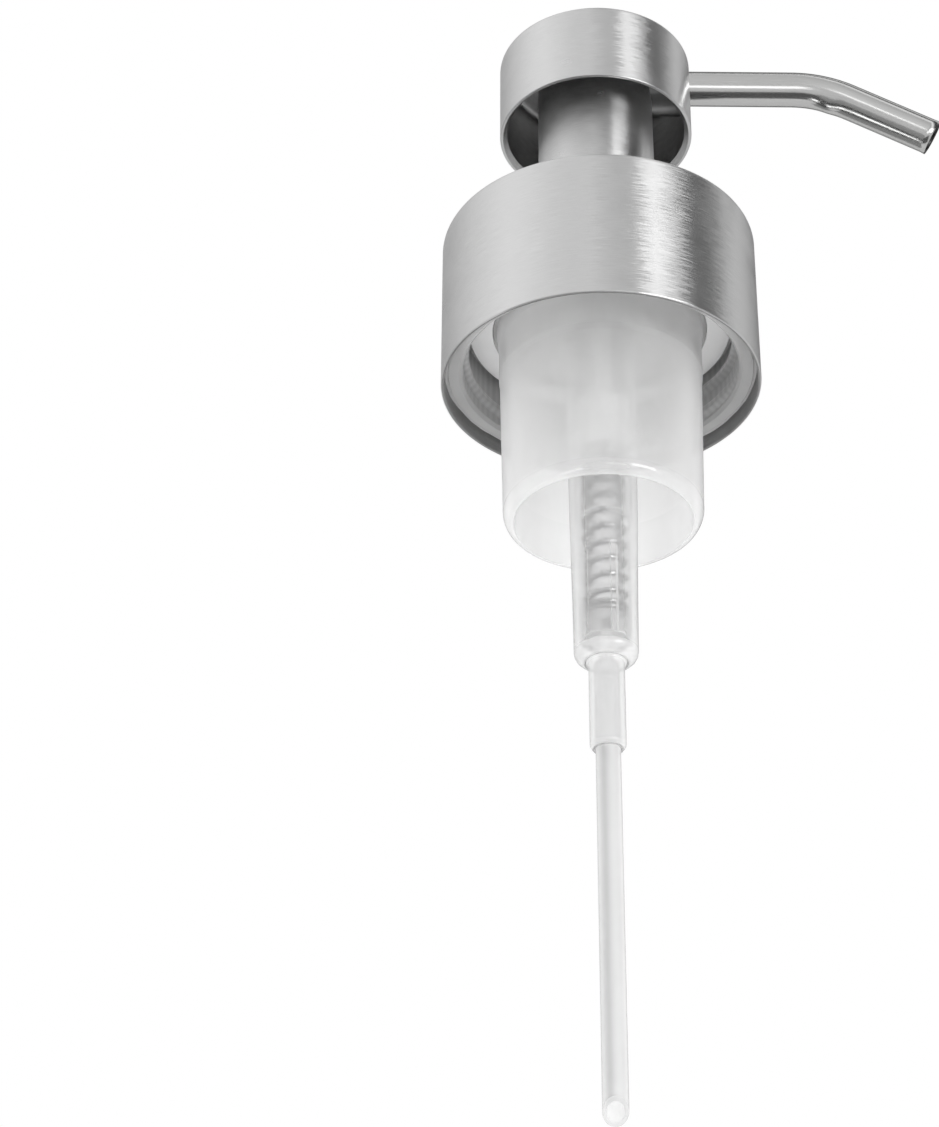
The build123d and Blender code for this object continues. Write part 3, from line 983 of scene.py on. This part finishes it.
def light_only(lamp, piece):
    """Let the lamp reach one piece and nothing else."""
    only = bpy.data.collections.new(piece + "_only")
    only.objects.link(bpy.data.objects[piece])
    lamp.light_linking.receiver_collection = only


def make_softbox(name, azimuth, elevation, width, height, power, distance=0.9):
    """A light panel aimed at the pump."""
    lamp = make_panel(name, width, height, power)
    aim(lamp, PUMP_MIDDLE, azimuth, elevation, distance)
    return lamp


def make_card(name, azimuth, elevation, width, height, light, distance=0.6):
    """A glowing card that shows only in reflections, aimed at the spout."""
    mesh = bpy.data.meshes.new(name)
    across, up = width / 2, height / 2
    corners = [(-across, -up, 0), (across, -up, 0), (across, up, 0), (-across, up, 0)]
    mesh.from_pydata(corners, [], [(0, 1, 2, 3)])
    m = Surface(name)
    m.set(Base_Color=(0, 0, 0, 1), Emission_Strength=1.0, Specular_IOR_Level=0.0)
    grain = m.noise(m.add("TexCoord").outputs["Object"], 20.0)
    m.set(Emission_Color=m.ramp(grain, (0.3, light * 0.95), (0.7, light)))
    mesh.materials.append(m.material)
    card = bpy.data.objects.new(name, mesh)
    aim(card, SPOUT_MIDDLE, azimuth, elevation, distance)
    card.visible_camera = card.visible_diffuse = card.visible_transmission = False
    card.visible_shadow = False
    bpy.context.scene.collection.objects.link(card)


def make_spout_glint():
    """A small panel beside the collar that the spout mirrors as a line along its underside."""
    off_collar = 0.0015
    lamp = make_panel("spout_glint", 0.022, 0.005, 0.0009)
    lamp.location = (collar_r * MM + off_collar, 0, collar_high * MM)
    lamp.rotation_euler.y = -math.pi / 2
    light_only(lamp, "spout")


def make_camera():
    """Below the pump and looking up at it, with the pump right of the middle."""
    data = bpy.data.cameras.new("camera")
    data.lens = 88.74
    data.sensor_width = 36.0
    data.clip_start, data.clip_end = 0.01, 50
    camera = bpy.data.objects.new("camera", data)
    look_up, lean = 31.133, 0.498
    place = Matrix.Translation((-0.02108, -0.37128, -0.26867))
    tilt = Matrix.Rotation(math.radians(90 + look_up), 4, "X")
    roll = Matrix.Rotation(math.radians(lean), 4, "Z")
    camera.matrix_world = place @ tilt @ roll
    bpy.context.scene.collection.objects.link(camera)
    bpy.context.scene.camera = camera


make_world()
make_floor()
make_camera()
make_softbox("strip_light", 41, -10, 0.45, 0.25, 2.8)
for name, azimuth, power in (("under_left", -50, 2.0), ("under_right", 50, 1.5)):
    make_softbox(name, azimuth, -60, 0.6, 0.6, power, 0.85).visible_glossy = False
light_only(make_softbox("rim_light", -42, -42, 0.35, 0.06, 3.5), "neck_bell")
make_card("spout_line", 8, -24, 0.2, 0.13, 2.2)
make_card("spout_shade", 0, -78, 0.8, 0.5, 0.12)
make_card("outlet_line", -12, 1, 0.1, 0.07, 2.2)
make_card("outlet_shade", -52, -42, 0.42, 0.25, 0.35)
make_spout_glint()
make_card("outlet_low_shade", -134, -38, 0.36, 0.3, 0.3)
bpy.context.scene.view_settings.view_transform = "Standard"
